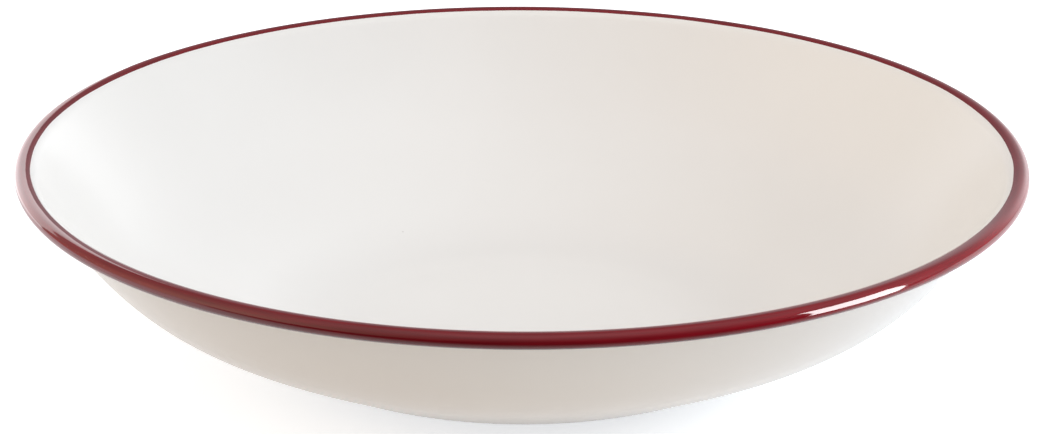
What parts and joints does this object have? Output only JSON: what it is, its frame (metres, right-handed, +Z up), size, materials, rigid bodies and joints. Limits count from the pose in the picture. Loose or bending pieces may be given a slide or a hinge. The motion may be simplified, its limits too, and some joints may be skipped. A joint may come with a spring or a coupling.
{
  "type": "deep plate",
  "caption": "Round deep plate in white enamelled steel with a flat base, a curved wall and a rolled rim banded in red, for serving soup, stew or pasta.",
  "frame": {"origin": "centre of the flat base's underside, on the surface the plate stands on", "axes": "+Z up along the axis the plate is turned about, -Y toward the camera of the picture"},
  "size_m": [0.24, 0.24, 0.05],
  "materials": {
    "bare_steel": "bare pressed sheet, hidden under the enamel",
    "ground_enamel": "dark vitreous ground coat, hidden under the cover coats",
    "white_enamel": "glossy warm white vitreous enamel",
    "red_enamel": "glossy deep red vitreous enamel"
  },
  "bodies": {
    "root": {"steel_body": "bare_steel", "inside_ground_coat": "ground_enamel", "outside_ground_coat": "ground_enamel", "inside_white_enamel": "white_enamel", "outside_white_enamel": "white_enamel", "red_rim_enamel": "red_enamel"}
  },
  "joints": []
}
